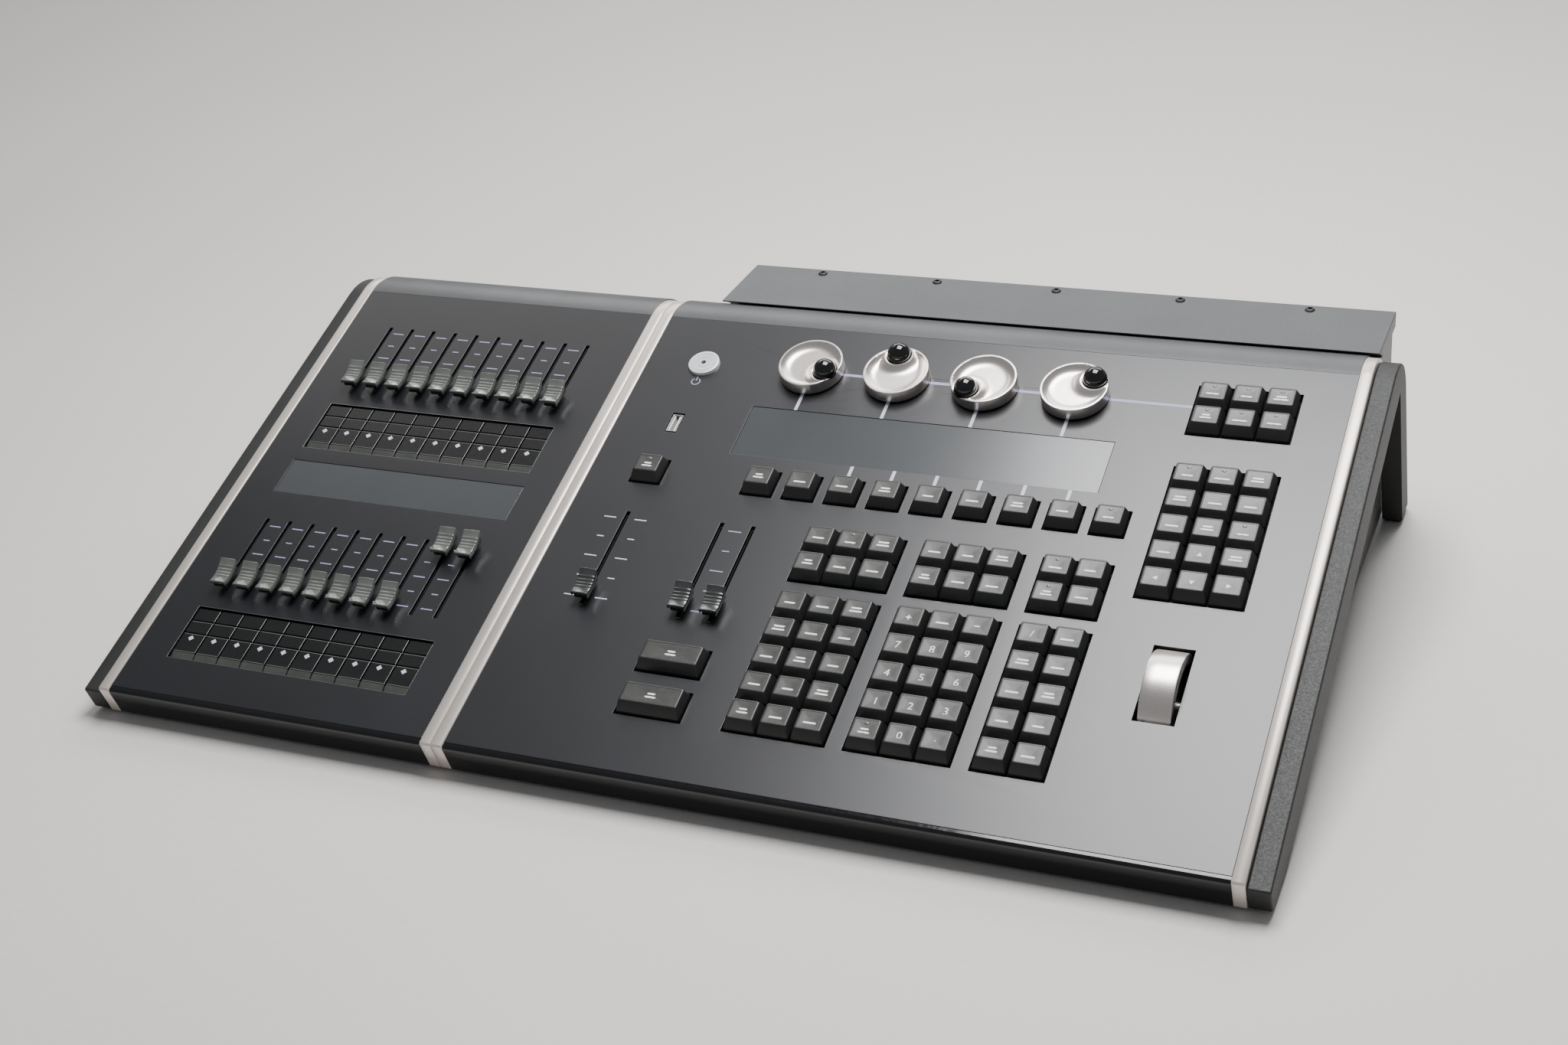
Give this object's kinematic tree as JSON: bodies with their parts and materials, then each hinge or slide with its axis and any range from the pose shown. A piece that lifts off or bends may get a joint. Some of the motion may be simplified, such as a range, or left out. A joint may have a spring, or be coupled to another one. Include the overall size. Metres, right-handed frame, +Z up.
{
  "type": "lighting control desk",
  "caption": "Sloping stage lighting control desk with key blocks, encoders, level wheel and a docked two-bank fader wing.",
  "frame": {"origin": "centre of the footprint, on the surface the desk stands on", "axes": "+X to the operator's right along the desk, +Y to the rear, +Z up"},
  "size_m": [0.684, 0.4106, 0.1344],
  "materials": {
    "overlay_film": "satin printed overlay",
    "gloss_lip": "gloss",
    "cover_plastic": "semi-gloss",
    "painted_trim": "champagne silver paint",
    "cheek_plastic": "fine texture",
    "painted_sheet": "fine powder coat",
    "rubber": "matte",
    "connector_plastic": "moulded",
    "screen_glass": "semi-gloss",
    "board": "solder mask",
    "plated_steel": "plated",
    "mount_metal": "cast",
    "guide_plastic": "moulded",
    "key_plastic": "fine texture",
    "bump_plastic": "satin",
    "smoke_cap": "smoke translucent",
    "satin_nickel": "satin",
    "button_silver": "satin silver"
  },
  "bodies": {
    "root": {"console_base_pan": "painted_sheet", "console_face_plate": "overlay_film", "front_lips": "gloss_lip", "rear_covers": "cover_plastic", "trim_strips": "painted_trim", "side_cheeks": "cheek_plastic", "rubber_feet": "rubber", "rear_box": "painted_sheet", "rear_box_lid": "painted_sheet", "rear_connectors": "connector_plastic", "wing_base_pan": "painted_sheet", "wing_face_plate": "overlay_film", "display_panels": "screen_glass", "circuit_boards": "board", "usb_socket": "plated_steel", "fader_bodies": "plated_steel", "control_mounts": "mount_metal", "key_guides": "guide_plastic", "dock_blocks": "plated_steel"},
    "blackout_key": {"blackout_key": "key_plastic"},
    "stop_key": {"stop_key": "key_plastic"},
    "run_key": {"run_key": "key_plastic"},
    "number_keys": {"number_keys": "key_plastic"},
    "left_keys": {"left_keys": "key_plastic"},
    "right_keys": {"right_keys": "key_plastic"},
    "upper_keys": {"upper_keys": "key_plastic"},
    "page_keys": {"page_keys": "key_plastic"},
    "focus_keys": {"focus_keys": "key_plastic"},
    "screen_keys": {"screen_keys": "key_plastic"},
    "power_button": {"power_button": "button_silver"},
    "bump_keys_rear": {"bump_keys_rear": "bump_plastic"},
    "bump_keys_front": {"bump_keys_front": "bump_plastic"},
    "level_wheel": {"level_wheel": "satin_nickel"},
    "encoder_1": {"encoder_1": "satin_nickel"},
    "encoder_2": {"encoder_2": "satin_nickel"},
    "encoder_3": {"encoder_3": "satin_nickel"},
    "encoder_4": {"encoder_4": "satin_nickel"},
    "master_fader_1": {"master_fader_1": "smoke_cap"},
    "master_fader_2": {"master_fader_2": "smoke_cap"},
    "master_fader_3": {"master_fader_3": "smoke_cap"},
    "rear_fader_1": {"rear_fader_1": "smoke_cap"},
    "rear_fader_2": {"rear_fader_2": "smoke_cap"},
    "rear_fader_3": {"rear_fader_3": "smoke_cap"},
    "rear_fader_4": {"rear_fader_4": "smoke_cap"},
    "rear_fader_5": {"rear_fader_5": "smoke_cap"},
    "rear_fader_6": {"rear_fader_6": "smoke_cap"},
    "rear_fader_7": {"rear_fader_7": "smoke_cap"},
    "rear_fader_8": {"rear_fader_8": "smoke_cap"},
    "rear_fader_9": {"rear_fader_9": "smoke_cap"},
    "rear_fader_10": {"rear_fader_10": "smoke_cap"},
    "front_fader_1": {"front_fader_1": "smoke_cap"},
    "front_fader_2": {"front_fader_2": "smoke_cap"},
    "front_fader_3": {"front_fader_3": "smoke_cap"},
    "front_fader_4": {"front_fader_4": "smoke_cap"},
    "front_fader_5": {"front_fader_5": "smoke_cap"},
    "front_fader_6": {"front_fader_6": "smoke_cap"},
    "front_fader_7": {"front_fader_7": "smoke_cap"},
    "front_fader_8": {"front_fader_8": "smoke_cap"},
    "front_fader_9": {"front_fader_9": "smoke_cap"},
    "front_fader_10": {"front_fader_10": "smoke_cap"}
  },
  "joints": [
    {"name": "blackout_key_press", "type": "slide", "parent": "root", "child": "blackout_key", "axis": [0, 0.309, -0.9511], "range_m": [0, 0.0035], "stiffness_N_per_m": 120, "springref_m": -0.003},
    {"name": "stop_key_press", "type": "slide", "parent": "root", "child": "stop_key", "axis": [0, 0.309, -0.9511], "range_m": [0, 0.0035], "stiffness_N_per_m": 180, "springref_m": -0.003},
    {"name": "run_key_press", "type": "slide", "parent": "root", "child": "run_key", "axis": [0, 0.309, -0.9511], "range_m": [0, 0.0035], "stiffness_N_per_m": 180, "springref_m": -0.003},
    {"name": "number_keys_press", "type": "slide", "parent": "root", "child": "number_keys", "axis": [0, 0.309, -0.9511], "range_m": [0, 0.0035], "stiffness_N_per_m": 960, "springref_m": -0.003},
    {"name": "left_keys_press", "type": "slide", "parent": "root", "child": "left_keys", "axis": [0, 0.309, -0.9511], "range_m": [0, 0.0035], "stiffness_N_per_m": 960, "springref_m": -0.003},
    {"name": "right_keys_press", "type": "slide", "parent": "root", "child": "right_keys", "axis": [0, 0.309, -0.9511], "range_m": [0, 0.0035], "stiffness_N_per_m": 660, "springref_m": -0.003},
    {"name": "upper_keys_press", "type": "slide", "parent": "root", "child": "upper_keys", "axis": [0, 0.309, -0.9511], "range_m": [0, 0.0035], "stiffness_N_per_m": 1020, "springref_m": -0.003},
    {"name": "page_keys_press", "type": "slide", "parent": "root", "child": "page_keys", "axis": [0, 0.309, -0.9511], "range_m": [0, 0.0035], "stiffness_N_per_m": 960, "springref_m": -0.003},
    {"name": "focus_keys_press", "type": "slide", "parent": "root", "child": "focus_keys", "axis": [0, 0.309, -0.9511], "range_m": [0, 0.0035], "stiffness_N_per_m": 420, "springref_m": -0.003},
    {"name": "screen_keys_press", "type": "slide", "parent": "root", "child": "screen_keys", "axis": [0, 0.309, -0.9511], "range_m": [0, 0.0035], "stiffness_N_per_m": 600, "springref_m": -0.003},
    {"name": "power_button_press", "type": "slide", "parent": "root", "child": "power_button", "axis": [0, 0.309, -0.9511], "range_m": [0, 0.001], "stiffness_N_per_m": 400, "springref_m": -0.0015},
    {"name": "bump_keys_rear_press", "type": "slide", "parent": "root", "child": "bump_keys_rear", "axis": [0, 0.309, -0.9511], "range_m": [0, 0.0015], "stiffness_N_per_m": 900, "springref_m": -0.002},
    {"name": "bump_keys_front_press", "type": "slide", "parent": "root", "child": "bump_keys_front", "axis": [0, 0.309, -0.9511], "range_m": [0, 0.0015], "stiffness_N_per_m": 900, "springref_m": -0.002},
    {"name": "level_wheel_spin", "type": "hinge", "parent": "root", "child": "level_wheel", "pos_m": [0.26632, -0.09581, 0.03767], "axis": [1, 0, 0], "continuous": true},
    {"name": "encoder_1_spin", "type": "hinge", "parent": "root", "child": "encoder_1", "pos_m": [0.00673, 0.08609, 0.11517], "axis": [0, -0.309, 0.9511], "continuous": true},
    {"name": "encoder_2_spin", "type": "hinge", "parent": "root", "child": "encoder_2", "pos_m": [0.06087, 0.08609, 0.11517], "axis": [0, -0.309, 0.9511], "continuous": true},
    {"name": "encoder_3_spin", "type": "hinge", "parent": "root", "child": "encoder_3", "pos_m": [0.11503, 0.08609, 0.11517], "axis": [0, -0.309, 0.9511], "continuous": true},
    {"name": "encoder_4_spin", "type": "hinge", "parent": "root", "child": "encoder_4", "pos_m": [0.16917, 0.08609, 0.11517], "axis": [0, -0.309, 0.9511], "continuous": true},
    {"name": "master_fader_1_slide", "type": "slide", "parent": "root", "child": "master_fader_1", "axis": [0, 0.9511, 0.309], "range_m": [-0.0035, 0.0565]},
    {"name": "master_fader_2_slide", "type": "slide", "parent": "root", "child": "master_fader_2", "axis": [0, 0.9511, 0.309], "range_m": [-0.0035, 0.0565]},
    {"name": "master_fader_3_slide", "type": "slide", "parent": "root", "child": "master_fader_3", "axis": [0, 0.9511, 0.309], "range_m": [-0.0035, 0.0565]},
    {"name": "rear_fader_1_slide", "type": "slide", "parent": "root", "child": "rear_fader_1", "axis": [0, 0.9511, 0.309], "range_m": [0, 0.045]},
    {"name": "rear_fader_2_slide", "type": "slide", "parent": "root", "child": "rear_fader_2", "axis": [0, 0.9511, 0.309], "range_m": [0, 0.045]},
    {"name": "rear_fader_3_slide", "type": "slide", "parent": "root", "child": "rear_fader_3", "axis": [0, 0.9511, 0.309], "range_m": [0, 0.045]},
    {"name": "rear_fader_4_slide", "type": "slide", "parent": "root", "child": "rear_fader_4", "axis": [0, 0.9511, 0.309], "range_m": [0, 0.045]},
    {"name": "rear_fader_5_slide", "type": "slide", "parent": "root", "child": "rear_fader_5", "axis": [0, 0.9511, 0.309], "range_m": [0, 0.045]},
    {"name": "rear_fader_6_slide", "type": "slide", "parent": "root", "child": "rear_fader_6", "axis": [0, 0.9511, 0.309], "range_m": [0, 0.045]},
    {"name": "rear_fader_7_slide", "type": "slide", "parent": "root", "child": "rear_fader_7", "axis": [0, 0.9511, 0.309], "range_m": [0, 0.045]},
    {"name": "rear_fader_8_slide", "type": "slide", "parent": "root", "child": "rear_fader_8", "axis": [0, 0.9511, 0.309], "range_m": [0, 0.045]},
    {"name": "rear_fader_9_slide", "type": "slide", "parent": "root", "child": "rear_fader_9", "axis": [0, 0.9511, 0.309], "range_m": [0, 0.045]},
    {"name": "rear_fader_10_slide", "type": "slide", "parent": "root", "child": "rear_fader_10", "axis": [0, 0.9511, 0.309], "range_m": [0, 0.045]},
    {"name": "front_fader_1_slide", "type": "slide", "parent": "root", "child": "front_fader_1", "axis": [0, 0.9511, 0.309], "range_m": [0, 0.045]},
    {"name": "front_fader_2_slide", "type": "slide", "parent": "root", "child": "front_fader_2", "axis": [0, 0.9511, 0.309], "range_m": [0, 0.045]},
    {"name": "front_fader_3_slide", "type": "slide", "parent": "root", "child": "front_fader_3", "axis": [0, 0.9511, 0.309], "range_m": [0, 0.045]},
    {"name": "front_fader_4_slide", "type": "slide", "parent": "root", "child": "front_fader_4", "axis": [0, 0.9511, 0.309], "range_m": [0, 0.045]},
    {"name": "front_fader_5_slide", "type": "slide", "parent": "root", "child": "front_fader_5", "axis": [0, 0.9511, 0.309], "range_m": [0, 0.045]},
    {"name": "front_fader_6_slide", "type": "slide", "parent": "root", "child": "front_fader_6", "axis": [0, 0.9511, 0.309], "range_m": [0, 0.045]},
    {"name": "front_fader_7_slide", "type": "slide", "parent": "root", "child": "front_fader_7", "axis": [0, 0.9511, 0.309], "range_m": [0, 0.045]},
    {"name": "front_fader_8_slide", "type": "slide", "parent": "root", "child": "front_fader_8", "axis": [0, 0.9511, 0.309], "range_m": [0, 0.045]},
    {"name": "front_fader_9_slide", "type": "slide", "parent": "root", "child": "front_fader_9", "axis": [0, 0.9511, 0.309], "range_m": [-0.045, 0]},
    {"name": "front_fader_10_slide", "type": "slide", "parent": "root", "child": "front_fader_10", "axis": [0, 0.9511, 0.309], "range_m": [-0.045, 0]}
  ]
}
